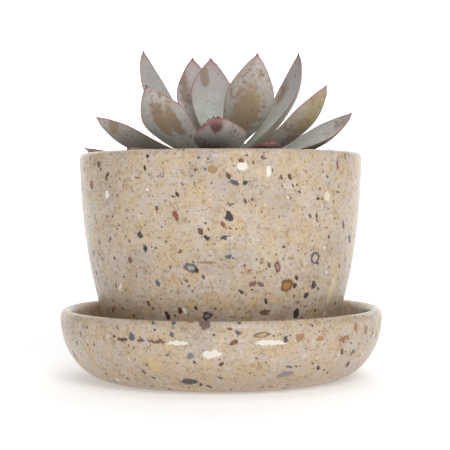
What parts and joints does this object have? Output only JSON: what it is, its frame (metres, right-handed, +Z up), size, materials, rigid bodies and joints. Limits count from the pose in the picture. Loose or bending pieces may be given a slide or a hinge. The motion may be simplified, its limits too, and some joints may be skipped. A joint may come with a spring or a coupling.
{
  "type": "potted echeveria",
  "caption": "Echeveria rosette of thick pointed leaves on a short rooted stem, in a round speckled stone pot that stands in a deep matching saucer.",
  "frame": {"origin": "centre of the saucer's flat underside, on the ground", "axes": "+Z up, +X to the right and -Y to the front, the side with the widest upright leaf right of the middle"},
  "size_m": [0.1304, 0.1304, 0.1342],
  "materials": {
    "speckled_stone": "satin",
    "potting_mix": "matte",
    "bark": "matte",
    "leaf_skin": "matte"
  },
  "bodies": {
    "root": {"saucer": "speckled_stone", "pot": "speckled_stone", "potting_mix": "potting_mix", "stem_and_roots": "bark", "leaf_01": "leaf_skin", "leaf_02": "leaf_skin", "leaf_03": "leaf_skin", "leaf_04": "leaf_skin", "leaf_05": "leaf_skin", "leaf_06": "leaf_skin", "leaf_07": "leaf_skin", "leaf_08": "leaf_skin", "leaf_09": "leaf_skin", "leaf_10": "leaf_skin", "leaf_11": "leaf_skin", "leaf_12": "leaf_skin", "leaf_13": "leaf_skin", "leaf_14": "leaf_skin", "leaf_15": "leaf_skin", "leaf_16": "leaf_skin", "leaf_17": "leaf_skin", "leaf_18": "leaf_skin", "leaf_19": "leaf_skin", "leaf_20": "leaf_skin", "leaf_21": "leaf_skin", "leaf_22": "leaf_skin", "leaf_23": "leaf_skin", "leaf_24": "leaf_skin", "leaf_25": "leaf_skin", "leaf_26": "leaf_skin", "leaf_27": "leaf_skin", "leaf_28": "leaf_skin", "leaf_29": "leaf_skin", "leaf_30": "leaf_skin", "leaf_31": "leaf_skin", "leaf_32": "leaf_skin", "leaf_33": "leaf_skin", "leaf_34": "leaf_skin"}
  },
  "joints": []
}
